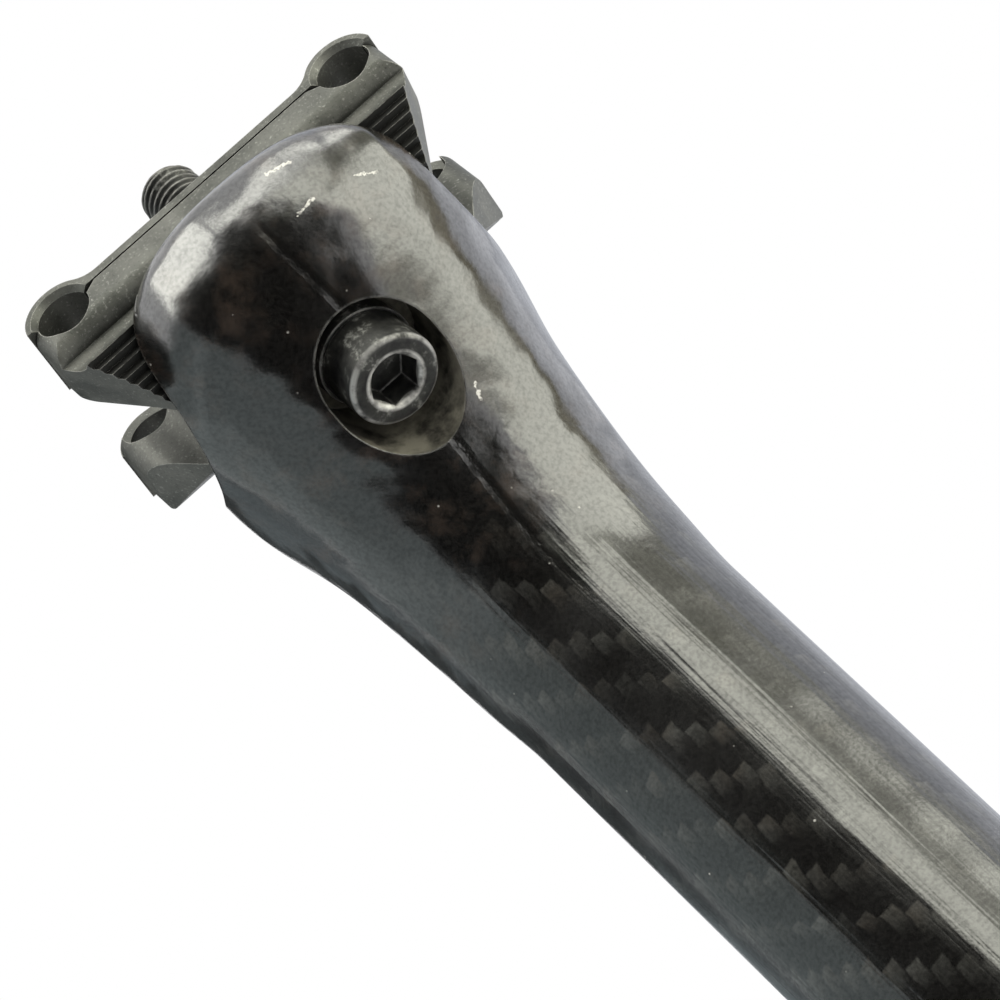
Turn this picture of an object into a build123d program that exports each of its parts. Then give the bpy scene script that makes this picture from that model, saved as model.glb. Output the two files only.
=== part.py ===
from build123d import *
import math
import os

# Set-back carbon seatpost with a one-bolt, tilting saddle clamp.
# Millimetres. X to the rider's right, Y forward, Z up along the shaft.
# The origin is the middle of the shaft's cut lower end.

# Shaft
SHAFT_R = 15.8
SHAFT_WALL = 2.4
BORE_END = 315.0
BORE_TAPER = 12.0
BORE_TIP_R = 5.0

# Clamp centre: where the bolt's axis crosses the plane of the saddle rails
CLAMP_HEIGHT = 350.0
SETBACK = 21.0
CLAMP_TILT = 17.5

# Head: stations from the shaft to the crown. Each has its lean (share of the setback), its drop
# below the rails (share of the whole drop), its tilt (share of the clamp's tilt), how much deeper
# and wider than the shaft it is at each side, and the squareness of its outline.
HEAD_DROP = 63.0
HEAD_STEP = 0.05
HEAD_STATIONS = [
    (0.0, 1.0, 0.0, -HEAD_STEP, -HEAD_STEP, 2.0),
    (0.01, 0.873, 0.2, 0.23, 0.5, 2.0),
    (0.081, 0.754, 0.47, 1.68, 1.0, 2.05),
    (0.214, 0.643, 0.58, 4.0, 1.7, 2.1),
    (0.393, 0.536, 0.617, 6.85, 2.6, 2.2),
    (0.59, 0.431, 0.637, 9.27, 3.8, 2.35),
    (0.774, 0.329, 0.706, 11.07, 5.5, 2.55),
    (0.9, 0.234, 0.823, 11.35, 6.7, 2.7),
    (0.933, 0.165, 0.874, 9.9, 6.2, 2.7),
    (0.952, 0.117, 0.969, 6.15, 3.8, 2.6),
    (0.976, 0.097, 1.114, 0.65, -0.6, 2.5),
]
SECTION_POINTS = 24

# Teeth that hold the tilt: fine V teeth on the cradle's round belly and in the bonded liner
TOOTH_COUNT = 78
TOOTH_DEPTH = 0.6
CRADLE_TIP_R = 17.7
TOOTH_GAP = 0.3
LINER_WALL = 0.8
BOND_GAP = 0.1
CRADLE_BACK_SPAN = 58.0
CRADLE_FRONT_SPAN = 50.0
LINER_SPAN = 61.0
LINER_WIDTH = 33.0

# Clamp
RAIL_R = 3.5
RAIL_SPACING = 44.0
RAIL_CLEARANCE = 0.1
TUNNEL_FLARE = 0.7
TUNNEL_SEAM = 67.5
CLAMP_LENGTH = 30.4
WAIST_BACK = 5.2
CRADLE_WAIST_FRONT = 4.3
UPPER_WAIST_FRONT = 7.6
WAIST_WIDTH = 34.0
WAIST_CORNER_R = 4.0
PARTING = 0.8
PARTING_GAP = 0.3

# Lower cradle. A draft is its depth under the rails, then how far it moves in per millimetre of
# depth and per millimetre towards the waist.
CRADLE_END_WALL = 1.2
CRADLE_CORNER_R = 2.6
BACK_DRAFT = (6.2, 0.5, 0.2)
FRONT_DRAFT = (3.4, 0.75, 0.0)
GROOVE_EASE = (1.8, 1.0)
NOSE_DROP = 2.4
NOSE_FOOT = (2.3, 5.4)
VALLEY_MIDDLE = (1.7, 7.4)

# Upper clamp
ARCH_WALL = 1.4
BAR_THICKNESS = 1.2
BAR_FILLET = 4.0
SPINE_TOP = 4.8
SPINE_LENGTH = 19.0
SPINE_SLOPE = 3.4
SPINE_WIDTH = 36.0
BOSS_R = 7.0
BOSS_TOP = 6.6

# Bolt, washer and their pocket
BOLT_R = 4.0
BOLT_CLEARANCE = 0.4
THREAD_GAP = 0.1
BOLT_HEAD_R = 5.85
BOLT_HEAD_HEIGHT = 7.0
BOLT_HEAD_CHAMFER = 0.7
BOLT_TIP_CHAMFER = 0.9
BOLT_LENGTH = 50.0
HEX_ACROSS = 6.0
HEX_DEPTH = 4.2
HEX_MOUTH = 0.6
BOLT_SEAT = 25.0
WASHER_R = 6.2
WASHER_THICKNESS = 2.5
FLOOR_GAP = 0.2
POCKET_WIDTH = 15.6
POCKET_LENGTH = 16.8
TILT_RANGE = 4.0

# Worked out from the sizes above
LINER_TIP_R = CRADLE_TIP_R + TOOTH_GAP
LINER_ROOT_R = LINER_TIP_R + TOOTH_DEPTH
RECESS_R = LINER_ROOT_R + LINER_WALL + BOND_GAP
FLOOR_R = BOLT_SEAT - WASHER_THICKNESS - FLOOR_GAP
TUNNEL_R = RAIL_R + RAIL_CLEARANCE
ARCH_R = TUNNEL_R + ARCH_WALL
RAIL_X = RAIL_SPACING / 2
CRADLE_WIDTH = RAIL_SPACING + 2 * (TUNNEL_R + CRADLE_END_WALL)
HALF_LENGTH = CLAMP_LENGTH / 2
CRADLE_TOP = PARTING - PARTING_GAP / 2
UPPER_FLOOR = PARTING + PARTING_GAP / 2
SLOT_WIDTH = 2 * (BOLT_R + BOLT_CLEARANCE)
SLOT_LENGTH = SLOT_WIDTH + 2 * FLOOR_R * math.sin(math.radians(TILT_RANGE))
HEAD_START = CLAMP_HEIGHT - HEAD_DROP
BEYOND = 60.0

# The clamp's own frame: x across, y forward along the rails, z up along the bolt
TILT = math.radians(CLAMP_TILT)
CLAMP = Plane(
    origin=(0, -SETBACK, CLAMP_HEIGHT),
    x_dir=(1, 0, 0),
    z_dir=(0, math.sin(TILT), math.cos(TILT)),
)


def superellipse(half_width, half_depth, power):
    """Closed outline between an ellipse (power 2) and a rounded box."""
    points = []
    for i in range(SECTION_POINTS):
        angle = 2 * math.pi * i / SECTION_POINTS
        c = math.cos(angle)
        s = math.sin(angle)
        x = half_width * math.copysign(abs(c) ** (2 / power), c)
        y = half_depth * math.copysign(abs(s) ** (2 / power), s)
        points.append((x, y))
    return Spline(*points, periodic=True)


def head_section(lean, drop, tilt, deeper, wider, power):
    """Face of the head's outline at one station."""
    centre = (0, -lean * SETBACK, CLAMP_HEIGHT - drop * HEAD_DROP)
    angle = tilt * TILT
    plane = Plane(centre, x_dir=(1, 0, 0), z_dir=(0, math.sin(angle), math.cos(angle)))
    return plane * make_face(superellipse(SHAFT_R + wider, SHAFT_R + deeper, power))


def head_solid():
    """The closed outer form of shaft and head."""
    shaft = Cylinder(SHAFT_R, HEAD_START, align=(Align.CENTER, Align.CENTER, Align.MIN))
    head = loft([head_section(*station) for station in HEAD_STATIONS])
    return shaft + head


def across_x(profile, length):
    """Prism along X from a profile drawn in the clamp's (forward, up) plane."""
    return extrude(profile, amount=length / 2, both=True)


def ring_teeth(inner_r, outer_r, back_span, front_span):
    """Zigzag about straight down, over these angles, on the outer radius at both ends."""
    step = 180 / TOOTH_COUNT
    first = -2 * round(back_span / step / 2)
    last = 2 * round(front_span / step / 2)
    points = []
    for i in range(first, last + 1):
        angle = math.radians(i * step)
        radius = outer_r if i % 2 == 0 else inner_r
        points.append((radius * math.sin(angle), -radius * math.cos(angle)))
    return points


def obround(length, width):
    """Bolt slot outline: long along the rails, so that the bolt can swing."""
    return SlotOverall(length, width, rotation=90)


def make_post(form):
    bore_r = SHAFT_R - SHAFT_WALL
    taper_start = BORE_END - BORE_TAPER
    profile = Polyline((0, 0), (bore_r, 0), (bore_r, taper_start),
                       (BORE_TIP_R, BORE_END), (0, BORE_END), close=True)
    bore = revolve(Plane.XZ * make_face(profile), Axis.Z)
    trough = across_x(Plane.YZ * Circle(LINER_TIP_R), BEYOND)
    edge = math.radians(LINER_SPAN)
    corner = (RECESS_R * math.sin(edge), -RECESS_R * math.cos(edge))
    corner_back = (-corner[0], corner[1])
    sector = Polyline(corner_back, (0, 0), corner) + ThreePointArc(corner, (0, -RECESS_R), corner_back)
    recess = across_x(Plane.YZ * make_face(sector), LINER_WIDTH + 2 * BOND_GAP)
    floor = across_x(Plane.YZ * Circle(FLOOR_R), BEYOND)
    pocket = extrude(obround(POCKET_LENGTH, POCKET_WIDTH), amount=-BEYOND) - floor
    slot = extrude(obround(SLOT_LENGTH, SLOT_WIDTH), amount=-BOLT_SEAT)
    return form - bore - CLAMP * trough - CLAMP * recess - CLAMP * pocket - CLAMP * slot


def make_liner(form):
    teeth_span = LINER_SPAN - 360 / TOOTH_COUNT
    teeth = ring_teeth(LINER_ROOT_R, LINER_TIP_R, teeth_span, teeth_span)
    edge = math.radians(LINER_SPAN) - BOND_GAP / RECESS_R
    back_r = RECESS_R - BOND_GAP
    left = (-back_r * math.sin(edge), -back_r * math.cos(edge))
    right = (-left[0], left[1])
    outline = Polyline(*teeth, right) + ThreePointArc(right, (0, -back_r), left) + Line(left, teeth[0])
    liner = across_x(Plane.YZ * make_face(outline), LINER_WIDTH)
    slot = extrude(obround(SLOT_LENGTH, SLOT_WIDTH), amount=-FLOOR_R)
    return CLAMP * (liner - slot) & form


def rail_tunnels(flare=0.0):
    """The two round tunnels that hold the saddle rails, with or without flared mouths."""
    tunnel = Rot(90, 0, 0) * Rot(0, 0, TUNNEL_SEAM) * Cylinder(TUNNEL_R, 2 * BEYOND)
    if flare:
        mouth = Cone(TUNNEL_R + flare, TUNNEL_R, flare, align=(Align.CENTER, Align.CENTER, Align.MIN))
        mouth = Pos(0, HALF_LENGTH, 0) * Rot(90, 0, 0) * mouth
        tunnel += mouth
        tunnel += mirror(mouth, Plane.XZ)
    return Pos(-RAIL_X, 0, 0) * tunnel + Pos(RAIL_X, 0, 0) * tunnel


def waist(front):
    """Side notches that part the front hooks from the back ones."""
    depth = BEYOND - WAIST_WIDTH / 2
    plan = RectangleRounded(depth, front + WAIST_BACK, WAIST_CORNER_R)
    notch = Pos(0, (front - WAIST_BACK) / 2, 0) * extrude(plan, amount=BEYOND / 2, both=True)
    shift = (WAIST_WIDTH + depth) / 2
    return Pos(-shift, 0, 0) * notch + Pos(shift, 0, 0) * notch


def end_draft(along, lip, down, inward):
    """What the draft takes off a left-hand hook at the back (along -1) or at the front (along 1)."""
    corner = (-CRADLE_WIDTH / 2, along * HALF_LENGTH, -lip)
    draft = Plane(corner, z_dir=(-1, -along * inward, -down))
    outside = draft * Box(4 * BEYOND, 4 * BEYOND, BEYOND, align=(Align.CENTER, Align.CENTER, Align.MIN))
    return outside & Pos(0, along * 2 * BEYOND, 0) * Box(4 * BEYOND, 4 * BEYOND, 4 * BEYOND)


def cradle_ends():
    """What the drafts take off the four hooks."""
    left = end_draft(-1, *BACK_DRAFT) + end_draft(1, *FRONT_DRAFT)
    return left + mirror(left, Plane.YZ)


def groove_eases():
    """Eased inner edges of the rail grooves."""
    edge = RAIL_X - math.sqrt(TUNNEL_R**2 - CRADLE_TOP**2)
    wide, deep = GROOVE_EASE
    outline = Polyline((edge - wide, CRADLE_TOP), (edge + wide, CRADLE_TOP),
                       (edge + wide, CRADLE_TOP - 2 * deep), close=True)
    ease = extrude(Plane.XZ * make_face(outline), amount=BEYOND, both=True)
    return ease + mirror(ease, Plane.YZ)


def make_cradle():
    teeth = ring_teeth(CRADLE_TIP_R - TOOTH_DEPTH, CRADLE_TIP_R, CRADLE_BACK_SPAN, CRADLE_FRONT_SPAN)
    foot = (HALF_LENGTH - NOSE_FOOT[0], -NOSE_FOOT[1])
    nose = (HALF_LENGTH, -NOSE_DROP)
    valley = (HALF_LENGTH - VALLEY_MIDDLE[0], -VALLEY_MIDDLE[1])
    top = (HALF_LENGTH, CRADLE_TOP)

    def back(point):
        return (-point[0], point[1])

    outline = Polyline(*teeth)
    outline += ThreePointArc(teeth[-1], valley, foot)
    outline += TangentArc(nose, foot, tangent=(0, -1))
    outline += Polyline(nose, top, back(top), back(nose))
    outline += TangentArc(back(nose), back(foot), tangent=(0, -1))
    outline += ThreePointArc(back(foot), back(valley), teeth[0])
    body = across_x(Plane.YZ * make_face(outline), 2 * BEYOND)

    plan = RectangleRounded(CRADLE_WIDTH, CLAMP_LENGTH, CRADLE_CORNER_R)
    body &= extrude(plan, amount=BEYOND, both=True)
    body -= cradle_ends()
    body -= rail_tunnels()
    body -= groove_eases()
    body -= waist(CRADLE_WAIST_FRONT)
    body -= Cylinder(BOLT_R + BOLT_CLEARANCE, BEYOND)
    return CLAMP * body


def make_upper():
    bar_top = UPPER_FLOOR + BAR_THICKNESS
    reach = ARCH_R + BAR_FILLET
    fillet_x = RAIL_X - math.sqrt(reach**2 - (bar_top + BAR_FILLET) ** 2)
    share = ARCH_R / reach
    fillet_top = (RAIL_X - (RAIL_X - fillet_x) * share, (bar_top + BAR_FILLET) * share)
    foot_x = RAIL_X + math.sqrt(ARCH_R**2 - UPPER_FLOOR**2)

    def left(point):
        return (-point[0], point[1])

    foot = (foot_x, UPPER_FLOOR)
    bar_end = (fillet_x, bar_top)
    outline = Line(left(foot), foot)
    outline += ThreePointArc(foot, (RAIL_X, ARCH_R), fillet_top)
    outline += TangentArc(bar_end, fillet_top, tangent=(1, 0))
    outline += Line(bar_end, left(bar_end))
    outline += TangentArc(left(bar_end), left(fillet_top), tangent=(-1, 0))
    outline += ThreePointArc(left(fillet_top), (-RAIL_X, ARCH_R), left(foot))
    body = extrude(Plane.XZ * make_face(outline), amount=HALF_LENGTH, both=True)

    half = SPINE_LENGTH / 2
    crest = half - SPINE_SLOPE
    ridge = Polyline((half, UPPER_FLOOR), (half, bar_top), (crest, SPINE_TOP),
                     (-crest, SPINE_TOP), (-half, bar_top), (-half, UPPER_FLOOR), close=True)
    body += across_x(Plane.YZ * make_face(ridge), SPINE_WIDTH)
    boss = Cylinder(BOSS_R, BOSS_TOP - UPPER_FLOOR, align=(Align.CENTER, Align.CENTER, Align.MIN))
    body += Pos(0, 0, UPPER_FLOOR) * boss
    body -= rail_tunnels(TUNNEL_FLARE)
    body -= waist(UPPER_WAIST_FRONT)
    body -= Cylinder(BOLT_R + THREAD_GAP, BEYOND)
    return CLAMP * body


def make_bolt():
    shank = Cylinder(BOLT_R, BOLT_LENGTH, align=(Align.CENTER, Align.CENTER, Align.MIN))
    shank = chamfer(shank.edges().sort_by(Axis.Z)[-1], BOLT_TIP_CHAMFER)
    head = Cylinder(BOLT_HEAD_R, BOLT_HEAD_HEIGHT, align=(Align.CENTER, Align.CENTER, Align.MAX))
    head = chamfer(head.edges().sort_by(Axis.Z)[0], BOLT_HEAD_CHAMFER)
    hexagon = RegularPolygon(HEX_ACROSS / 2, 6, major_radius=False)
    socket = Pos(0, 0, -BOLT_HEAD_HEIGHT) * extrude(hexagon, amount=HEX_DEPTH)
    flat = HEX_ACROSS / 2
    mouth = Cone(flat + HEX_MOUTH, flat, HEX_MOUTH, align=(Align.CENTER, Align.CENTER, Align.MIN))
    mouth = Pos(0, 0, -BOLT_HEAD_HEIGHT) * mouth
    return CLAMP * (Pos(0, 0, -BOLT_SEAT) * (shank + head - socket - mouth))


def make_washer():
    disc = Cylinder(WASHER_R, BOLT_SEAT, align=(Align.CENTER, Align.CENTER, Align.MAX))
    disc -= across_x(Plane.YZ * Circle(BOLT_SEAT - WASHER_THICKNESS), BEYOND)
    disc -= Cylinder(BOLT_R + BOLT_CLEARANCE, 2 * BEYOND)
    disc = disc.solids().sort_by(Axis.Z)[0]
    return CLAMP * disc


os.makedirs("parts", exist_ok=True)
form = head_solid()
parts = {
    "post": make_post(form),
    "seat_insert": make_liner(form),
    "lower_cradle": make_cradle(),
    "upper_clamp": make_upper(),
    "clamp_bolt": make_bolt(),
    "bolt_washer": make_washer(),
}
for name, part in parts.items():
    export_step(part, f"parts/{name}.step")
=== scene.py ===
import math

import bpy
import numpy as np
from mathutils import Matrix


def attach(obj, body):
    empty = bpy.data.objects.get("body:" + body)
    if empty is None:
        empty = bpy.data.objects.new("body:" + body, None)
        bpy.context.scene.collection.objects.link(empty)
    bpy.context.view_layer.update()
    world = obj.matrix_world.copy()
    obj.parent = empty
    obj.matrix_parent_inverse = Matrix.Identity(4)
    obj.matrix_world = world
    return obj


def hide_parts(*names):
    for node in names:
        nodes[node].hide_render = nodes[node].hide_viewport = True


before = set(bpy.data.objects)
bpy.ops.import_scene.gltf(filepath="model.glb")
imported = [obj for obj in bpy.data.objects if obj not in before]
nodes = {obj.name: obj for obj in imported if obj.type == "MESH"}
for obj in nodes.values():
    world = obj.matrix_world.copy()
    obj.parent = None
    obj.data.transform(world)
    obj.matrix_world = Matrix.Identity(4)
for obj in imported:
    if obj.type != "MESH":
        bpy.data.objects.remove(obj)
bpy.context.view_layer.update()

MM = 0.001

# Post, in millimetres
SHAFT_R = 15.8
BORE_R = 13.4
BORE_END = 315.0
BORE_TAPER = 12.0
BORE_TIP_R = 5.0
CLAMP_HEIGHT = 350.0
SETBACK = 21.0
TILT = math.radians(17.5)
HEAD_DROP = 63.0
# Sections of the head from the shaft upward: lean as a share of the setback, height below the clamp as a
# share of the head's, tilt as a share of the clamp's, how much deeper and how much wider than the shaft
# in millimetres, and the power of the superellipse
HEAD_STATIONS = [
    (0.0, 1.0, 0.0, 0.0, 0.0, 2.0),
    (0.01, 0.873, 0.2, 0.23, 0.5, 2.0),
    (0.081, 0.754, 0.47, 1.68, 1.0, 2.05),
    (0.214, 0.643, 0.58, 4.0, 1.7, 2.1),
    (0.393, 0.536, 0.617, 6.85, 2.6, 2.2),
    (0.59, 0.431, 0.637, 9.27, 3.8, 2.35),
    (0.774, 0.329, 0.706, 11.07, 5.5, 2.55),
    (0.9, 0.234, 0.823, 11.35, 6.7, 2.7),
    (0.933, 0.165, 0.874, 9.9, 6.2, 2.7),
    (0.952, 0.117, 0.969, 6.15, 3.8, 2.6),
    (0.976, 0.097, 1.114, 0.65, -0.6, 2.5),
]
CIRCLE_POWER = 2.0
SECTION_POINTS = 24
TROUGH_R = 18.0
RECESS_R = 19.5
RECESS_SPAN = math.radians(61.0)
RECESS_WIDTH = 33.2
FLOOR_R = 22.3
POCKET_WIDTH = 15.6
POCKET_LENGTH = 16.8
SLOT_WIDTH = 8.8
SLOT_LENGTH = 11.9
# The smooth post lies this far inside the plain one
INSET = 0.05

# Cradle, in millimetres
CRADLE_WIDTH = 53.6
CRADLE_TOP = 0.65
CRADLE_TIP_R = 17.7
CRADLE_CORNER_R = 2.6
TOOTH_COUNT = 78
TOOTH_DEPTH = 0.6
BACK_TEETH = 12
FRONT_TEETH = 11
HALF_LENGTH = 15.2
NOSE_DROP = 2.4
# Foot of the nose and the valleys between it and the teeth: inward from the cradle's end, and down
NOSE_FOOT = (2.3, 5.4)
FRONT_VALLEY = (1.7, 7.4)
BACK_VALLEY = [(2.5, 6.2), (2.55, 7.0), (2.4, 7.8), (2.05, 8.6), (1.5, 9.4)]
# Drafts of the hooks' sides: how far down they start, and what they take per millimetre down and inward
BACK_DRAFT = (6.2, 0.5, 0.2)
FRONT_DRAFT = (5.6, 0.6, 0.0)
# Undercut below the front hooks, beside the head: its lower and upper end, forward and up
UNDERCUT_LOW = (3.0, -18.14)
UNDERCUT_HIGH = (16.0, -2.85)
# Half the width and half the depth of the eased edge inside each tunnel
GROOVE_EASE = (1.8, 1.0)
RAIL_X = 22.0
TUNNEL_R = 3.6
WAIST_BACK = 5.2
WAIST_FRONT = 4.3
WAIST_HALF = 17.0
HOOK_ROUND = 3.4
HEAD_HALF = 17.5
BOLT_HOLE_R = 4.4

# Bolt, in millimetres
BOLT_R = 4.0
BOLT_SEAT = 25.0
BOLT_LENGTH = 49.98
BOLT_NECK = 0.3
BOLT_HEAD_R = 5.85
BOLT_HEAD_HEIGHT = 7.0
BOLT_HEAD_ROUND = 0.8
BOLT_HEAD_EDGE = 0.15
BOLT_HEAD_LOW = -BOLT_SEAT - BOLT_HEAD_HEIGHT
BOLT_TIP_CHAMFER = 0.9
HEX_ACROSS = 6.0
HEX_DEPTH = 4.2
HEX_MOUTH = 0.6
THREAD_PITCH = 1.25
THREAD_DEPTH = 0.62
THREAD_START = -6.0
# Slope of the thread's flanks, and the groove at its middle before it is cut off at the full depth
THREAD_SLOPE = 2.5
THREAD_PEAK = 1.25

# How far the cutting tools reach, always past what they cut
REACH = 40.0
BORE_BELOW = 5.0
POCKET_REACH = 60.0
SOCKET_BELOW = 1.0
DRAFT_ABOVE = 5.0
EASE_ABOVE = 0.01

# Fineness of the smooth meshes
AROUND = 256
HEAD_RINGS = 130
SHAFT_RINGS = 24
SLOT_STEPS = 48
CYLINDER_STEPS = 360
RECESS_STEPS = 121
NOSE_STEPS = 13
CORNER_STEPS = 17
TUNNEL_STEPS = 96
HOLE_STEPS = 64
BOLT_STEPS = 96
BOLT_ROUND_STEPS = 6
THREAD_STEP = 0.1
# Edges sharper than this stay sharp, in degrees
CREASE = 28
BOLT_CREASE = 32
# A face of the cradle whose normal leans less than this to the side can be the flank of a tooth
FLANK_LEAN = 0.05

CLAMP_CENTRE = np.array([0.0, -SETBACK, CLAMP_HEIGHT])
CLAMP_AXES = np.array([
    [1.0, 0.0, 0.0],
    [0.0, math.cos(TILT), -math.sin(TILT)],
    [0.0, math.sin(TILT), math.cos(TILT)],
])


def clamp_to_world(points):
    """From the clamp's frame (across, forward along the rails, up the bolt) to the part's, in mm."""
    return np.asarray(points, float) @ CLAMP_AXES + CLAMP_CENTRE


def mesh_object(name, points_mm, faces):
    mesh = bpy.data.meshes.new(name)
    mesh.from_pydata((np.asarray(points_mm) * MM).tolist(), [], faces)
    mesh.update()
    mesh.polygons.foreach_set("use_smooth", [True] * len(mesh.polygons))
    obj = bpy.data.objects.new(name, mesh)
    bpy.context.scene.collection.objects.link(obj)
    return obj


def grid_faces(rows, columns):
    """Quads of a tube of rings, each ring closed on itself."""
    faces = []
    for i in range(rows - 1):
        low = i * columns
        high = low + columns
        for j in range(columns):
            k = (j + 1) % columns
            faces.append((low + j, low + k, high + k, high + j))
    return faces


def tube(name, rings):
    """Closed body from a list of rings of points, with flat ends."""
    rows = len(rings)
    columns = len(rings[0])
    points = np.concatenate(rings)
    faces = grid_faces(rows, columns)
    faces.append(tuple(reversed(range(columns))))
    faces.append(tuple(range((rows - 1) * columns, rows * columns)))
    return mesh_object(name, points, faces)


def ring(radius, height, count):
    angles = np.linspace(0, 2 * math.pi, count, endpoint=False)
    return np.stack([radius * np.cos(angles), radius * np.sin(angles), np.full(count, height)], axis=1)


def cut(obj, tool):
    """Takes a tool's form out of a body, and removes the tool."""
    modifier = obj.modifiers.new("cut", "BOOLEAN")
    modifier.operation = "DIFFERENCE"
    modifier.solver = "EXACT"
    modifier.object = tool
    bpy.context.view_layer.objects.active = obj
    bpy.ops.object.modifier_apply(modifier=modifier.name)
    bpy.data.objects.remove(tool)


def crease(obj, degrees):
    """Smooth shading, with sharp edges from this angle up."""
    obj.data.polygons.foreach_set("use_smooth", [True] * len(obj.data.polygons))
    obj.data.set_sharp_from_angle(angle=math.radians(degrees))


def spline_slopes(t, values, start=None):
    """Slopes of the natural cubic spline through values at t, or with a given slope at the start."""
    n = len(t)
    step = np.diff(t)
    matrix = np.zeros((n, n))
    right = np.zeros((n,) + values.shape[1:])
    gradient = np.diff(values, axis=0) / step.reshape((-1,) + (1,) * (values.ndim - 1))
    for i in range(1, n - 1):
        matrix[i, i - 1] = step[i]
        matrix[i, i] = 2 * (step[i - 1] + step[i])
        matrix[i, i + 1] = step[i - 1]
        right[i] = 3 * (step[i] * gradient[i - 1] + step[i - 1] * gradient[i])
    matrix[0, 0] = 2
    matrix[0, 1] = 1
    right[0] = 3 * gradient[0]
    if start is not None:
        matrix[0, 1] = 0
        matrix[0, 0] = 1
        right[0] = start
    matrix[-1, -1] = 2
    matrix[-1, -2] = 1
    right[-1] = 3 * gradient[-1]
    return np.linalg.solve(matrix, right.reshape(n, -1)).reshape(right.shape)


def spline_at(t, values, slopes, where):
    """Points of the spline at the given places along it."""
    out = []
    for x in where:
        i = min(max(int(np.searchsorted(t, x, side="right")) - 1, 0), len(t) - 2)
        step = t[i + 1] - t[i]
        s = (x - t[i]) / step
        a = (1 + 2 * s) * (1 - s) ** 2
        b = s * (1 - s) ** 2
        c = s * s * (3 - 2 * s)
        d = s * s * (s - 1)
        out.append(a * values[i] + b * step * slopes[i] + c * values[i + 1] + d * step * slopes[i + 1])
    return np.array(out)


def closed_outline(half_width, half_depth, power):
    """Smooth closed outline through the points of a superellipse."""
    angle = 2 * math.pi * np.arange(SECTION_POINTS) / SECTION_POINTS
    c = np.cos(angle)
    s = np.sin(angle)
    x = half_width * np.sign(c) * np.abs(c) ** (2 / power)
    y = half_depth * np.sign(s) * np.abs(s) ** (2 / power)
    points = np.stack([x, y], axis=1)
    wrapped = np.concatenate([points] * 3 + [points[:1]])
    chord = np.linalg.norm(np.diff(wrapped, axis=0), axis=1)
    t = np.concatenate([[0], np.cumsum(chord)])
    slopes = spline_slopes(t, wrapped)
    start = t[SECTION_POINTS]
    length = t[2 * SECTION_POINTS] - start
    return spline_at(t, wrapped, slopes, start + length * np.arange(AROUND) / AROUND)


def head_rings():
    """Rings of the head, on a smooth skin through its sections."""
    sections = []
    for lean, drop, tilt, deeper, wider, power in HEAD_STATIONS:
        flat = closed_outline(SHAFT_R + wider - INSET, SHAFT_R + deeper - INSET, power)
        angle = tilt * TILT
        centre = np.array([0, -lean * SETBACK, CLAMP_HEIGHT - drop * HEAD_DROP])
        forward = np.array([0, math.cos(angle), -math.sin(angle)])
        sections.append(centre + flat[:, :1] * np.array([1.0, 0, 0]) + flat[:, 1:] * forward)
    sections = np.array(sections)
    chord = np.linalg.norm(np.diff(sections, axis=0), axis=2).mean(axis=1)
    t = np.concatenate([[0], np.cumsum(chord)])
    upright = np.broadcast_to([0.0, 0.0, 1.0], sections[0].shape)
    slopes = spline_slopes(t, sections, upright)
    return spline_at(t, sections, slopes, np.linspace(0, t[-1], HEAD_RINGS))


def add_cloth_coordinates(obj, rings):
    """UV in millimetres: along the girth from the middle of the back, and along the post."""
    rows = len(rings)
    middle = rings.mean(axis=1)
    along = np.concatenate([[0], np.cumsum(np.linalg.norm(np.diff(middle, axis=0), axis=1))])
    girth = np.linalg.norm(np.roll(rings, -1, axis=1) - rings, axis=2)
    around = np.concatenate([np.zeros((rows, 1)), np.cumsum(girth, axis=1)], axis=1)
    back = 3 * AROUND // 4
    layer = obj.data.uv_layers.new(name="cloth")
    uv = np.zeros((len(obj.data.loops), 2))
    for polygon in obj.data.polygons[: (rows - 1) * AROUND]:
        i, j = divmod(polygon.index, AROUND)
        corners = ((i, j), (i, j + 1), (i + 1, j + 1), (i + 1, j))
        for loop, (row, column) in zip(polygon.loop_indices, corners):
            uv[loop] = (around[row, column] - around[row, back], along[row])
    layer.data.foreach_set("uv", uv.ravel())


def obround(length, width):
    """Slot outline, long along the second column."""
    radius = width / 2
    shift = (length - width) / 2
    upper = np.linspace(0, math.pi, SLOT_STEPS)
    lower = np.linspace(math.pi, 2 * math.pi, SLOT_STEPS)
    first = np.stack([radius * np.cos(upper), shift + radius * np.sin(upper)], axis=1)
    second = np.stack([radius * np.cos(lower), -shift + radius * np.sin(lower)], axis=1)
    return np.concatenate([first, second])


def clamp_cylinder(name, radius, width):
    """Cylinder across the clamp."""
    angle = np.linspace(0, 2 * math.pi, CYLINDER_STEPS, endpoint=False)
    y = radius * np.cos(angle)
    z = radius * np.sin(angle)
    sides = [np.stack([np.full(CYLINDER_STEPS, x), y, z], axis=1) for x in (-width / 2, width / 2)]
    return tube(name, [clamp_to_world(points) for points in sides])


def upright_prism(name, outline, low, high):
    """Body from an outline in the clamp's plane and a span along the bolt."""
    outline = np.asarray(outline, float)
    levels = [np.column_stack([outline, np.full(len(outline), height)]) for height in (low, high)]
    return tube(name, [clamp_to_world(level) for level in levels])


def along_rails(name, outline):
    """Body from an outline across the clamp (across, up), run along the rails."""
    rings = [[(x, y, z) for x, z in outline] for y in (REACH, -REACH)]
    return tube(name, [clamp_to_world(points) for points in rings])


def across_clamp(name, outline, start, end):
    """Body from an outline seen from the side (forward, up), run across the clamp."""
    rings = [[(x, y, z) for y, z in outline] for x in (start, end)]
    return tube(name, [clamp_to_world(points) for points in rings])


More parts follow.
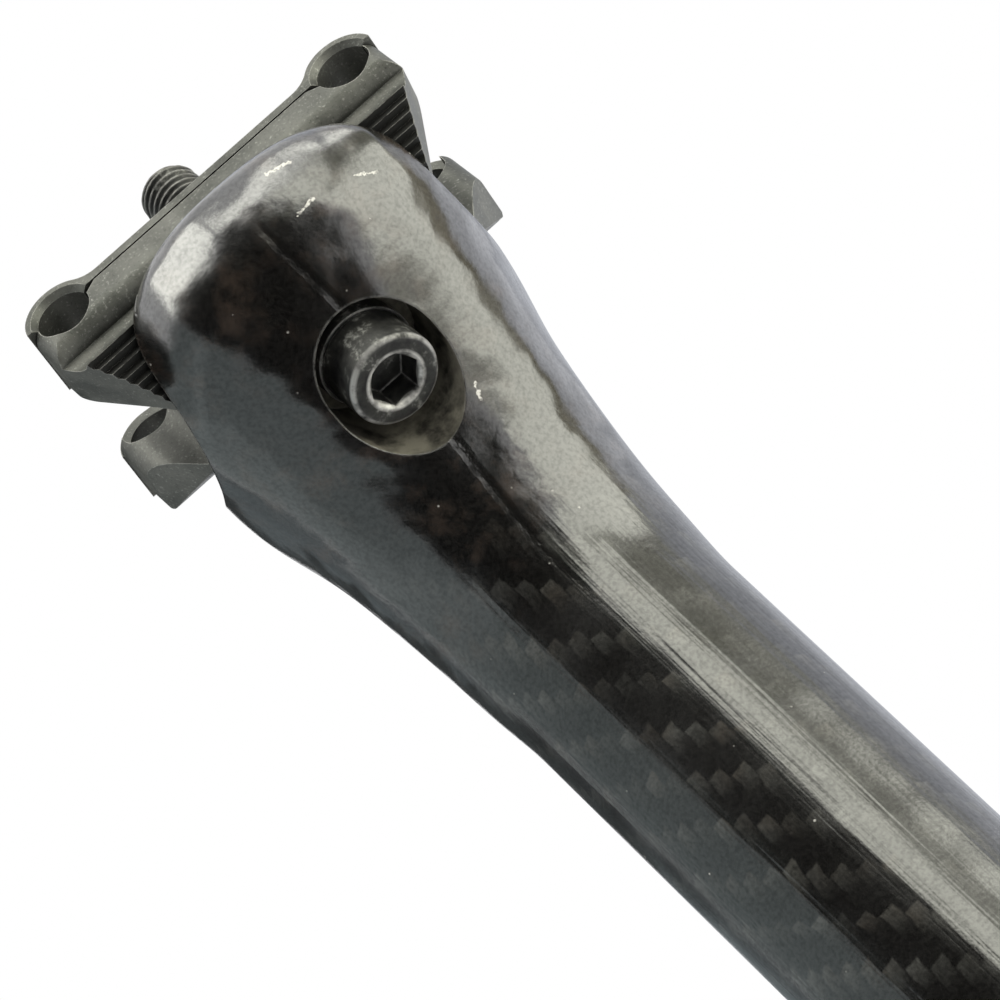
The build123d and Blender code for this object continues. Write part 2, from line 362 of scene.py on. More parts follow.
def mark_raw_faces(post):
    """1 on the machined faces (bore, trough, pocket and slot), 0 on the moulded skin."""
    loops = np.zeros(len(post.data.loops) * 2)
    post.data.uv_layers["cloth"].data.foreach_get("uv", loops)
    loops = loops.reshape(-1, 2)
    raw = np.zeros(len(post.data.polygons))
    for polygon in post.data.polygons:
        start = polygon.loop_start
        on_skin = np.abs(loops[start:start + polygon.loop_total]).sum() > 0
        raw[polygon.index] = 0.0 if on_skin else 1.0
    post.data.attributes.new("raw", "FLOAT", "FACE").data.foreach_set("value", raw)


def bore_tool():
    rings = [
        ring(BORE_R, -BORE_BELOW, AROUND),
        ring(BORE_R, BORE_END - BORE_TAPER, AROUND),
        ring(BORE_TIP_R, BORE_END, AROUND),
    ]
    return tube("bore", rings)


def recess_tool():
    """Sector round the clamp's middle, for the toothed liner."""
    span = np.linspace(-RECESS_SPAN, RECESS_SPAN, RECESS_STEPS)
    sector = [(0.0, 0.0)] + [(RECESS_R * math.sin(a), -RECESS_R * math.cos(a)) for a in span]
    return across_clamp("recess", sector, -RECESS_WIDTH / 2, RECESS_WIDTH / 2)


def pocket_tool():
    """Pocket for the bolt's head, down from a floor that is round about the clamp's middle."""
    pocket = upright_prism("pocket", obround(POCKET_LENGTH, POCKET_WIDTH), -POCKET_REACH, 0.0)
    cut(pocket, clamp_cylinder("floor_of_pocket", FLOOR_R, POCKET_REACH))
    return pocket


def build_post():
    flat = closed_outline(SHAFT_R - INSET, SHAFT_R - INSET, CIRCLE_POWER)
    heights = np.linspace(0, CLAMP_HEIGHT - HEAD_DROP, SHAFT_RINGS)[:-1]
    shaft = [np.column_stack([flat, np.full(AROUND, z)]) for z in heights]
    rings = np.concatenate([np.array(shaft), head_rings()])
    post = tube("carbon_post", list(rings))
    add_cloth_coordinates(post, rings)
    cut(post, bore_tool())
    cut(post, clamp_cylinder("trough", TROUGH_R, 2 * REACH))
    cut(post, recess_tool())
    cut(post, pocket_tool())
    cut(post, upright_prism("slot", obround(SLOT_LENGTH, SLOT_WIDTH), -BOLT_SEAT, 0.0))
    crease(post, CREASE)
    mark_raw_faces(post)
    return post


def draft_tool(side, along, lip, down, inward):
    """What the draft takes off one hook of the cradle."""
    end = along * REACH
    corners = [(0.0, DRAFT_ABOVE), (end, DRAFT_ABOVE), (end, -REACH), (0.0, -REACH)]
    if side * along > 0:
        corners.reverse()
    inner = []
    outer = []
    for y, z in corners:
        taken = down * (-lip - z) + inward * (HALF_LENGTH - along * y)
        inner.append((side * (CRADLE_WIDTH / 2 - taken), y, z))
        outer.append((side * 2 * REACH, y, z))
    return tube("draft", [clamp_to_world(inner), clamp_to_world(outer)])


def rounded_corner(x, y, radius, side, along):
    """Tool that rounds an upright outer corner at (x, y) of a body that lies inward of it."""
    turn = np.linspace(0, math.pi / 2, CORNER_STEPS)
    arc_x = x - side * radius * (1 - np.sin(turn))
    arc_y = y - along * radius * (1 - np.cos(turn))
    outline = list(zip(arc_x, arc_y))
    outline += [(x + side, arc_y[-1]), (x + side, y + along), (arc_x[0], y + along)]
    if side * along > 0:
        outline.reverse()
    return upright_prism("corner", outline[::-1], -REACH, REACH)


def cradle_outline():
    """The cradle seen from the side (forward, up): teeth, front nose, top, back nose and valley."""
    step = math.pi / TOOTH_COUNT
    outline = []
    for i in range(-2 * BACK_TEETH, 2 * FRONT_TEETH + 1):
        radius = CRADLE_TIP_R - (TOOTH_DEPTH if i % 2 else 0.0)
        outline.append((radius * math.sin(i * step), -radius * math.cos(i * step)))
    nose = []
    for a in np.linspace(0, 1, NOSE_STEPS):
        drop = NOSE_DROP + (NOSE_FOOT[1] - NOSE_DROP) * math.sin(a * math.pi / 2)
        nose.append((HALF_LENGTH - NOSE_FOOT[0] * (1 - math.cos(a * math.pi / 2)), -drop))
    outline.append((HALF_LENGTH - FRONT_VALLEY[0], -FRONT_VALLEY[1]))
    outline += nose[::-1]
    outline += [(HALF_LENGTH, CRADLE_TOP), (-HALF_LENGTH, CRADLE_TOP)]
    outline += [(-y, z) for y, z in nose]
    outline += [(inward - HALF_LENGTH, -drop) for inward, drop in BACK_VALLEY]
    return outline


def undercut_tool(side):
    """What is missing below a front hook, beside the head."""
    outline = [
        (UNDERCUT_LOW[0], -REACH),
        (REACH, -REACH),
        (REACH, UNDERCUT_HIGH[1]),
        UNDERCUT_HIGH,
        UNDERCUT_LOW,
    ]
    return across_clamp("under_hook", outline, *sorted((side * HEAD_HALF, side * REACH)))


def tunnel_tool(side):
    angles = np.linspace(0, 2 * math.pi, TUNNEL_STEPS, endpoint=False)
    hole = [(side * RAIL_X + TUNNEL_R * math.cos(a), TUNNEL_R * math.sin(a)) for a in angles]
    return along_rails("tunnel", hole)


def ease_tool(side):
    """Slope that eases the inner edge of a tunnel."""
    edge = RAIL_X - math.sqrt(TUNNEL_R**2 - CRADLE_TOP**2)
    wide, deep = GROOVE_EASE
    top = CRADLE_TOP + EASE_ABOVE
    corners = [(edge - wide, top), (edge + wide, top), (edge + wide, CRADLE_TOP - 2 * deep)]
    outline = [(side * x, z) for x, z in corners]
    return along_rails("ease", outline[::-side])


def waist_tool(side):
    """Round-ended notch between the front and the back hook."""
    length = WAIST_FRONT + WAIST_BACK
    middle = (WAIST_FRONT - WAIST_BACK) / 2
    notch = obround(REACH, length) + np.array([0.0, REACH / 2 + WAIST_HALF])
    notch = np.stack([side * notch[:, 1], middle - side * notch[:, 0]], axis=1)
    return upright_prism("notch", notch, -REACH, REACH)


def mark_teeth(cradle):
    """1 on the flanks of the teeth, where shade between them is painted, 0 elsewhere."""
    middles = np.zeros(3 * len(cradle.data.polygons))
    cradle.data.polygons.foreach_get("center", middles)
    local = (middles.reshape(-1, 3) / MM - CLAMP_CENTRE) @ CLAMP_AXES.T
    radius = np.hypot(local[:, 1], local[:, 2])
    flank = (radius > CRADLE_TIP_R - TOOTH_DEPTH) & (radius < CRADLE_TIP_R) & (local[:, 2] < 0)
    facing = np.zeros(3 * len(cradle.data.polygons))
    cradle.data.polygons.foreach_get("normal", facing)
    flank &= np.abs(facing.reshape(-1, 3)[:, 0]) < FLANK_LEAN
    marks = cradle.data.attributes.new("teeth", "FLOAT", "FACE")
    marks.data.foreach_set("value", flank.astype(float))


def build_cradle():
    """The cradle with softer corners than the plain one."""
    half = CRADLE_WIDTH / 2
    cradle = across_clamp("soft_cradle", cradle_outline(), -half, half)
    for side in (-1, 1):
        cut(cradle, draft_tool(side, -1, *BACK_DRAFT))
        cut(cradle, draft_tool(side, 1, *FRONT_DRAFT))
        cut(cradle, undercut_tool(side))
        cut(cradle, tunnel_tool(side))
        cut(cradle, ease_tool(side))
        cut(cradle, waist_tool(side))
        cut(cradle, rounded_corner(side * half, HALF_LENGTH, CRADLE_CORNER_R, side, 1))
        cut(cradle, rounded_corner(side * half, -HALF_LENGTH, CRADLE_CORNER_R, side, -1))
        cut(cradle, rounded_corner(side * half, WAIST_FRONT, HOOK_ROUND, side, -1))
        cut(cradle, rounded_corner(side * half, -WAIST_BACK, CRADLE_CORNER_R / 2, side, 1))
    bolt_hole = [clamp_to_world(ring(BOLT_HOLE_R, height, HOLE_STEPS)) for height in (-REACH, REACH)]
    cut(cradle, tube("bolt_hole", bolt_hole))
    crease(cradle, CREASE)
    mark_teeth(cradle)
    return cradle


def bolt_head_rings():
    """Rings of the bolt's head and plain neck, from below."""
    seat = -BOLT_SEAT
    sizes = [(BOLT_HEAD_R - BOLT_HEAD_ROUND - BOLT_HEAD_EDGE, BOLT_HEAD_LOW)]
    for k in range(BOLT_ROUND_STEPS + 1):
        turn = math.pi / 2 * k / BOLT_ROUND_STEPS
        radius = BOLT_HEAD_R - BOLT_HEAD_ROUND * (1 - math.sin(turn))
        sizes.append((radius, BOLT_HEAD_LOW + BOLT_HEAD_ROUND * (1 - math.cos(turn))))
    sizes += [
        (BOLT_HEAD_R, seat - BOLT_HEAD_EDGE),
        (BOLT_HEAD_R - BOLT_HEAD_EDGE, seat),
        (BOLT_R + BOLT_NECK, seat),
        (BOLT_R, seat + BOLT_NECK),
        (BOLT_R, THREAD_START),
    ]
    return [ring(radius, height, BOLT_STEPS) for radius, height in sizes]


def thread_rings():
    """Rings of the thread, which starts with a fade and ends with a chamfer."""
    tip = BOLT_LENGTH - BOLT_SEAT
    first = THREAD_START + THREAD_STEP
    angles = 2 * math.pi * np.arange(BOLT_STEPS) / BOLT_STEPS
    rings = []
    for height in np.arange(first, tip, THREAD_STEP):
        phase = (height / THREAD_PITCH - angles / (2 * math.pi)) % 1.0
        groove = np.clip(THREAD_PEAK - THREAD_SLOPE * np.abs(phase - 0.5), 0, 1)
        fade = min(max((height - first) / THREAD_PITCH, 0), 1)
        radius = BOLT_R - THREAD_DEPTH * groove * fade
        radius = np.minimum(radius, BOLT_R - max(0, height - (tip - BOLT_TIP_CHAMFER)))
        columns = [radius * np.cos(angles), radius * np.sin(angles), np.full(BOLT_STEPS, height)]
        rings.append(np.stack(columns, axis=1))
    return rings


def build_bolt():
    rings = bolt_head_rings() + thread_rings()
    bolt = tube("threaded_bolt", [clamp_to_world(points) for points in rings])
    corner = HEX_ACROSS / math.sqrt(3)
    turns = [math.pi / 3 * k for k in range(6)]
    hexagon = [(corner * math.cos(turn), corner * math.sin(turn)) for turn in turns]
    socket_low = BOLT_HEAD_LOW - SOCKET_BELOW
    cut(bolt, upright_prism("socket", hexagon, socket_low, BOLT_HEAD_LOW + HEX_DEPTH))
    mouth_rings = [
        ring(HEX_ACROSS / 2 + 2 * HEX_MOUTH, BOLT_HEAD_LOW - HEX_MOUTH, BOLT_STEPS),
        ring(HEX_ACROSS / 2, BOLT_HEAD_LOW + HEX_MOUTH, BOLT_STEPS),
    ]
    cut(bolt, tube("mouth", [clamp_to_world(points) for points in mouth_rings]))
    crease(bolt, BOLT_CREASE)
    return bolt


# Share of a worn stroke's half width, and of a ring's, that is marked fully; the rings are wear and
# painted highlight
STROKE_CORE = 0.6
RING_CORE = 0.4


class Nodes:
    """Short way to write the node tree of a material or of the world."""

    def __init__(self, owner):
        owner.use_nodes = True
        self.owner = owner
        self.tree = owner.node_tree
        self.tree.nodes.clear()

    def add(self, kind, inputs=None, **settings):
        node = self.tree.nodes.new(kind)
        for key, value in settings.items():
            setattr(node, key, value)
        for key, value in (inputs or {}).items():
            self.join(value, node.inputs[key])
        return node

    def join(self, value, socket):
        if isinstance(value, bpy.types.NodeSocket):
            self.tree.links.new(value, socket)
        else:
            socket.default_value = value

    def finish(self, shader, kind="ShaderNodeOutputMaterial"):
        """Joins the shader to the output, and gives the tree's owner back."""
        self.add(kind, {0: shader.outputs[0]})
        return self.owner

    def math(self, operation, a, b=0.0, c=0.0, clamp=False):
        node = self.add("ShaderNodeMath", operation=operation, use_clamp=clamp)
        for socket, value in zip(node.inputs, (a, b, c)):
            self.join(value, socket)
        return node.outputs[0]

    def noise(self, vector, scale, detail=3.0, rough=0.5):
        inputs = {"Vector": vector, "Scale": scale, "Detail": detail, "Roughness": rough}
        return self.add("ShaderNodeTexNoise", inputs).outputs["Fac"]

    def span(self, value, low, high, out_low=0.0, out_high=1.0):
        inputs = {0: value, 1: low, 2: high, 3: out_low, 4: out_high}
        return self.add("ShaderNodeMapRange", inputs, clamp=True).outputs[0]

    def mix(self, share, a, b):
        node = self.add("ShaderNodeMix", data_type="RGBA")
        self.join(share, node.inputs[0])
        self.join(a, node.inputs[6])
        self.join(b, node.inputs[7])
        return node.outputs[2]

    def vector(self, operation, a, b, c=(0.0, 0.0, 0.0)):
        node = self.add("ShaderNodeVectorMath", {0: a, 1: b, 2: c}, operation=operation)
        return node.outputs["Value" if operation in ("DOT_PRODUCT", "DISTANCE") else "Vector"]

    def scaled(self, vector, factor):
        return self.add("ShaderNodeVectorMath", {0: vector, "Scale": factor}, operation="SCALE").outputs[0]

    def edge_wear(self, radius, gain):
        """Normal rounded at edges, and how far it leaves the true one: about 1 on edges, 0 on flats."""
        bevel = self.add("ShaderNodeBevel", {"Radius": radius * MM}, samples=4).outputs[0]
        true = self.add("ShaderNodeNewGeometry").outputs["Normal"]
        away = self.math("SUBTRACT", 1.0, self.vector("DOT_PRODUCT", bevel, true))
        return bevel, self.math("MULTIPLY", away, gain, clamp=True)

    def bump(self, height, strength, distance, normal):
        inputs = {"Height": height, "Strength": strength, "Distance": distance, "Normal": normal}
        return self.add("ShaderNodeBump", inputs).outputs[0]

    def smooth_span(self, value, low, high):
        inputs = {0: value, 1: low, 2: high}
        return self.add("ShaderNodeMapRange", inputs, interpolation_type="SMOOTHSTEP").outputs[0]

    def total(self, *terms):
        """Sum of (value, factor) pairs."""
        result = 0.0
        for value, factor in terms:
            result = self.math("MULTIPLY_ADD", value, factor, result)
        return result

    def times(self, *values):
        result = values[0]
        for value in values[1:]:
            result = self.math("MULTIPLY", result, value)
        return result

    def near_stroke(self, place, start, end, radius):
        """1 on a stroke between two points in millimetres, 0 away from it."""
        start = np.array(start) * MM
        along = np.array(end) * MM - start
        offset = self.vector("SUBTRACT", place, tuple(start))
        dot = self.vector("DOT_PRODUCT", offset, tuple(along))
        share = self.math("DIVIDE", dot, float(along @ along), clamp=True)
        away = self.vector("DISTANCE", offset, self.scaled(tuple(along), share))
        return self.span(away, radius * MM, STROKE_CORE * radius * MM)

    def near_ring(self, place, radius, height, width):
        """1 on a circle around the clamp's upright axis, sizes in millimetres, 0 away from it."""
        axis = tuple(CLAMP_AXES[2])
        offset = self.vector("SUBTRACT", place, tuple(CLAMP_CENTRE * MM))
        up = self.vector("DOT_PRODUCT", offset, axis)
        out = self.vector("DISTANCE", offset, self.scaled(axis, up))
        across = self.math("SUBTRACT", out, radius * MM)
        along = self.math("SUBTRACT", up, height * MM)
        square = self.math("MULTIPLY_ADD", across, across, self.math("MULTIPLY", along, along))
        return self.span(self.math("SQRT", square), width * MM, RING_CORE * width * MM)


def colour(r, g, b):
    return (r, g, b, 1.0)


# Looks of the carbon. Noise scales are per metre, other sizes are in millimetres. u is the place round the
# girth from the middle of the back, v the place along the post.
CLOUD_SCALE = 60.0
MOTTLE_SCALE = 240.0
PEBBLE_SCALE = 1900.0
TOW = 2.1
TOW_WANDER = 0.55
TWILL_STEPS = 4.0
WEAVE_END = 294.0
HEAD_START = 308.0
HEAD_WANDER = 8.0
SEAM_MIDDLE = 318.0
SEAM_HALF_WAVE = 26.0
SEAM_SWING = 0.9
SEAM_SHIFT = 0.4
SEAM_WANDER = 0.3
SEAM_LOW = (286.0, 296.0)
SEAM_HIGH = (338.0, 334.0)
# The lip fades out at both ends of its span of u, and rolls deeper on the left
LIP_RIGHT = (20.0, 12.5)
LIP_LEFT = (-31.0, -22.0)
LIP_DEEPER = (-4.0, -12.0)
LIP_DEEPER_BY = 0.45
LIP_SPAN = (332.5, 342.5)
# Heights of the uneven skin
LIP_ROLL = 2.3
LUMP_HEIGHT = 1.0
DENT_HEIGHT = 0.45
SWELL_HEIGHT = 0.7
STREAK_HEIGHT = 0.13
SEAM_DEPTH = 0.07
MOTTLE_HEIGHT = 0.009
PEBBLE_HEIGHT = 0.012
# Chips of the clear coat on the head: both ends and the half width
CHIPS = [
    ((4.8, -45.0, 343.0), (7.7, -44.6, 342.5), 0.32),
    ((4.2, -43.3, 337.1), (6.8, -43.3, 337.4), 0.3),
    ((12.5, -41.4, 337.2), (14.6, -39.7, 336.7), 0.28),
    ((6.9, -25.0, 315.7), (6.1, -23.8, 314.1), 0.25),
]
CHIP_RAGGED = 0.9
EDGE_ROUND = 0.4
RESIN_IOR = 1.55
COAT_IOR = 1.7

RESIN_DARK = colour(0.002, 0.0018, 0.0016)
# Painted sheen of the weave's tows, grey and warm
RESIN_PALE = colour(0.0075, 0.007, 0.0062)
TOW_SHEEN_GREY = colour(0.056, 0.056, 0.05)
TOW_SHEEN_WARM = colour(0.05, 0.043, 0.034)
STAIN_BROWN = colour(0.04, 0.027, 0.019)
SEAM_BLACK = colour(0.004, 0.0036, 0.0032)
BARE_DARK = colour(0.022, 0.02, 0.016)
BARE_PALE = colour(0.15, 0.14, 0.11)
RUBBED_GREY = colour(0.36, 0.35, 0.32)
CHIP_WHITE = colour(0.8, 0.78, 0.72)


def twill_light(n, cloth, u, v):
    """Light on a twill of tows along and around the post. Each tow along it runs over two and under two
    of the others, one step on from its neighbour, and catches the light at the upper end of each float."""
    wander = n.span(n.noise(cloth, 0.13, 3.0), 0.3, 0.7, -TOW_WANDER, TOW_WANDER)
    across = n.math("DIVIDE", n.math("ADD", u, wander), TOW)
    column = n.math("FLOOR", across)
    steps = n.math("ADD", n.math("DIVIDE", n.math("ADD", v, wander), TOW), column)
    steps = n.math("DIVIDE", steps, TWILL_STEPS)
    turn = n.math("FRACT", steps)
    off_middle = n.math("ABSOLUTE", n.math("SUBTRACT", n.math("FRACT", across), 0.5))
    which = n.add("ShaderNodeCombineXYZ", {0: column, 1: n.math("FLOOR", steps)}).outputs[0]
    chance = n.add("ShaderNodeTexWhiteNoise", {"Vector": which}, noise_dimensions="2D").outputs["Value"]
    fibre_place = n.add("ShaderNodeMapping", {"Vector": cloth, "Scale": (9.0, 0.5, 1.0)}).outputs[0]
    return n.times(
        n.span(turn, 0.08, 0.44, 0.05, 1.0),
        n.span(turn, 0.51, 0.48),
        n.span(off_middle, 0.5, 0.4, 0.2, 1.0),
        n.span(chance, 0.0, 1.0, 0.25, 1.0),
        n.span(n.noise(fibre_place, 1.0, 2.0), 0.25, 0.75, 0.5, 1.25),
    )


def mould_seam(n, u, v, mottle):
    """1 on the seam of the mould, which winds down the back of the head, 0 away from it."""
    wave = n.math("MULTIPLY", n.math("SUBTRACT", v, SEAM_MIDDLE), math.pi / SEAM_HALF_WAVE)
    place = n.math("MULTIPLY_ADD", n.math("COSINE", wave), SEAM_SWING, SEAM_SHIFT)
    place = n.math("ADD", place, n.span(mottle, 0.3, 0.7, -SEAM_WANDER, SEAM_WANDER))
    away = n.math("ABSOLUTE", n.math("SUBTRACT", u, place))
    seam = n.times(n.span(away, 0.8, 0.15), n.span(v, *SEAM_LOW), n.span(v, *SEAM_HIGH))
    return n.times(seam, n.span(mottle, 0.36, 0.52, 0.4, 1.0))


def coat_chips(n, place, mottle):
    """1 on the chips of the clear coat, less on its specks, 0 elsewhere."""
    ragged = n.add("ShaderNodeTexNoise", {"Vector": place, "Scale": 2200.0}).outputs["Color"]
    ragged = n.vector("SUBTRACT", ragged, (0.5, 0.5, 0.5))
    shaken = n.vector("MULTIPLY_ADD", ragged, (CHIP_RAGGED * MM,) * 3, place)
    chip = 0.0
    for begin, end, half_width in CHIPS:
        chip = n.math("MAXIMUM", chip, n.near_stroke(shaken, begin, end, half_width))
    chip = n.times(chip, n.span(n.noise(place, 2400.0, 2.0), 0.36, 0.5, 0.3, 1.0))
    speck = n.add("ShaderNodeTexVoronoi", {"Vector": place, "Scale": 420.0}).outputs["Distance"]
    speck = n.times(n.span(speck, 0.08, 0.05), n.span(mottle, 0.56, 0.62), 0.6)
    return n.math("MAXIMUM", chip, speck)


def rolled_lip(n, u, v):
    """0 on the back of the head, rising over its lip to 1, and higher on the left."""
    lip = n.times(n.smooth_span(u, *LIP_RIGHT), n.smooth_span(u, *LIP_LEFT))
    lip = n.times(lip, n.math("MULTIPLY_ADD", n.smooth_span(u, *LIP_DEEPER), LIP_DEEPER_BY, 1.0))
    return n.times(lip, n.smooth_span(v, *LIP_SPAN))


def carbon_material():
    n = Nodes(bpy.data.materials.new("woven_carbon"))
    place = n.add("ShaderNodeTexCoord").outputs["Object"]
    cloth = n.add("ShaderNodeUVMap", uv_map="cloth").outputs[0]
    u, v = n.add("ShaderNodeSeparateXYZ", {0: cloth}).outputs[:2]
    raw = n.add("ShaderNodeAttribute", attribute_name="raw").outputs["Fac"]
    cloud = n.noise(place, CLOUD_SCALE, 4.0, 0.6)
    mottle = n.noise(place, MOTTLE_SCALE, 4.0, 0.65)
    pebble = n.noise(place, PEBBLE_SCALE, 2.0, 0.6)
    border = n.math("ADD", v, n.span(cloud, 0.3, 0.7, -HEAD_WANDER, HEAD_WANDER))
    on_head = n.span(border, WEAVE_END, HEAD_START)
    off_head = n.math("SUBTRACT", 1.0, on_head)
    seam = mould_seam(n, u, v, mottle)
    chip = coat_chips(n, place, mottle)

    # Colour: resin, the painted sheen of the weave on the shaft, brown stains on the head and the seam
    base = n.mix(n.span(pebble, 0.35, 0.7), RESIN_DARK, RESIN_PALE)
    tow_sheen_colour = n.mix(n.span(n.noise(cloth, 0.16, 1.0), 0.45, 0.7), TOW_SHEEN_GREY, TOW_SHEEN_WARM)
    # Painted sheen: the weave's pattern is real, but the lit ends of its floats are painted paler into the
    # colour
    weave_sheen = n.times(twill_light(n, cloth, u, v), n.span(pebble, 0.3, 0.7, 0.55, 1.3), off_head)
    base = n.mix(weave_sheen, base, tow_sheen_colour)
    stain = n.times(n.span(mottle, 0.48, 0.7), n.span(cloud, 0.4, 0.58), on_head)
    base = n.mix(n.math("MULTIPLY", stain, 0.8), base, STAIN_BROWN)
    base = n.mix(n.math("MULTIPLY", seam, 0.85), base, SEAM_BLACK)

    # Machined faces are bare and dusty, their edges worn pale, and the chips are white
    soft, edge = n.edge_wear(EDGE_ROUND, 3.0)
    bare = n.mix(n.span(mottle, 0.33, 0.58), BARE_DARK, BARE_PALE)
    base = n.mix(raw, base, bare)
    rubbed = n.times(edge, n.span(n.noise(place, 900.0, 3.0, 0.6), 0.35, 0.6))
    base = n.mix(n.math("MULTIPLY", rubbed, 0.75), base, RUBBED_GREY)
    base = n.mix(n.math("MULTIPLY", chip, 0.85), base, CHIP_WHITE)

    # Uneven skin: a softly rolled lip, lumps on the head, long streaks down the shaft and fine grain
    lump = n.times(n.math("SUBTRACT", n.noise(place, 85.0, 1.5), 0.5), on_head)
    dent = n.times(n.math("SUBTRACT", n.noise(place, 150.0, 1.5), 0.5), on_head)
    swell = n.noise(place, 45.0, 2.0)
    streak_place = n.add("ShaderNodeMapping", {"Vector": cloth, "Scale": (0.5, 0.012, 1.0)}).outputs[0]
    streak = n.times(n.noise(streak_place, 1.0, 3.0, 0.55), off_head)
    height = n.total(
        (rolled_lip(n, u, v), -LIP_ROLL),
        (lump, LUMP_HEIGHT),
        (dent, DENT_HEIGHT),
        (seam, -SEAM_DEPTH),
        (streak, STREAK_HEIGHT),
        (swell, SWELL_HEIGHT),
        (mottle, MOTTLE_HEIGHT),
        (pebble, PEBBLE_HEIGHT),
    )
    height = n.times(height, n.math("MULTIPLY_ADD", raw, -0.8, 1.0))
    normal = n.bump(height, 1.0, MM, soft)

    # Clear coat, missing on machined faces and chips and dull on the seam
    rough = n.span(cloud, 0.3, 0.7, 0.19, 0.27)
    rough = n.math("MAXIMUM", rough, n.math("MULTIPLY", raw, 0.6))
    intact = n.math("SUBTRACT", 1.0, n.math("MAXIMUM", raw, chip))
    gloss = n.times(n.span(pebble, 0.3, 0.7, 0.7, 1.12), intact)
    gloss = n.times(gloss, n.math("MULTIPLY_ADD", seam, -0.7, 1.0))
    shader = n.add("ShaderNodeBsdfPrincipled", {
        "Base Color": base,
        "Roughness": rough,
        "IOR": RESIN_IOR,
        "Specular IOR Level": n.span(gloss, 0.0, 1.0, 0.3, 0.85),
        "Coat Weight": n.math("MINIMUM", gloss, 1.0),
        "Coat IOR": COAT_IOR,
        "Coat Roughness": n.math("SUBTRACT", rough, 0.05),
        "Normal": normal,
        "Coat Normal": normal,
    })
    return n.finish(shader)


# Looks of the alloy and the steel, sizes in millimetres
ALLOY_EDGE = 0.16
ALLOY_METALLIC = 0.6
HOLLOW_REACH = 4.0
GRAIN_HEIGHT = 0.06
STEEL_EDGE = 0.4
STEEL_METALLIC = 0.4
# Rings on the screw, rubbed and painted as highlights: inward from the head's side or outward from the
# socket, up from the head's face, and the half width
RIM_WORN_HIGHLIGHT = (0.25, 0.3, 0.5)
MOUTH_WORN_HIGHLIGHT = (0.45, 0.1, 0.6)

PIT_BLACK = colour(0.035, 0.035, 0.032)
GRAIN_PALE = colour(0.42, 0.42, 0.39)
# Painted shade between the teeth
TEETH_SHADE_BLACK = colour(0.006, 0.006, 0.0055)
# Painted shade in hollows, creases and tunnels
HOLLOW_SHADE_BLACK = colour(0.008, 0.008, 0.007)
CLAMP_DARK = colour(0.078, 0.08, 0.071)
CLAMP_PALE = colour(0.18, 0.181, 0.164)
INSERT_DARK = colour(0.1, 0.1, 0.1)
INSERT_PALE = colour(0.2, 0.2, 0.2)
ALLOY_WORN = colour(0.7, 0.69, 0.64)
OXIDE_DARK = colour(0.009, 0.009, 0.01)
OXIDE_PALE = colour(0.055, 0.055, 0.05)
# Pale of the screw's rubbed edges and of the painted highlight on its rims
STEEL_WEAR_AND_HIGHLIGHT = colour(0.66, 0.65, 0.62)


def alloy_material(name, dark, pale):
    n = Nodes(bpy.data.materials.new(name))
    place = n.add("ShaderNodeTexCoord").outputs["Object"]
    soft, edge = n.edge_wear(ALLOY_EDGE, 4.0)
    blast = n.noise(place, 2600.0, 3.0, 0.7)
    patch = n.noise(place, 150.0, 4.0, 0.6)
    base = n.mix(n.span(patch, 0.32, 0.68), dark, pale)
    base = n.mix(n.span(blast, 0.4, 0.3, 0.0, 0.6), base, PIT_BLACK)
    base = n.mix(n.span(blast, 0.58, 0.72, 0.0, 0.7), base, GRAIN_PALE)
    teeth = n.add("ShaderNodeAttribute", attribute_name="teeth").outputs["Fac"]
    # Painted shade between the teeth: their flanks are made nearly black
    base = n.mix(n.math("MULTIPLY", teeth, 0.93), base, TEETH_SHADE_BLACK)
    # Painted shade: hollows, creases, tunnels and undersides are darkened where ambient occlusion finds
    # other surfaces near
    hollow = n.add("ShaderNodeAmbientOcclusion", {"Distance": HOLLOW_REACH * MM}, samples=6).outputs["AO"]
    base = n.mix(n.span(hollow, 0.82, 0.36, 0.0, 0.93), base, HOLLOW_SHADE_BLACK)
    wear = n.times(edge, n.span(n.noise(place, 650.0, 3.0, 0.6), 0.3, 0.5), n.span(hollow, 0.7, 0.85))
    base = n.mix(n.math("MULTIPLY", wear, 0.85), base, ALLOY_WORN)
    shader = n.add("ShaderNodeBsdfPrincipled", {
        "Base Color": base,
        "Metallic": ALLOY_METALLIC,
        "Roughness": n.span(patch, 0.3, 0.7, 0.4, 0.54),
        "Normal": n.bump(blast, 0.5, GRAIN_HEIGHT * MM, soft),
    })
    return n.finish(shader)


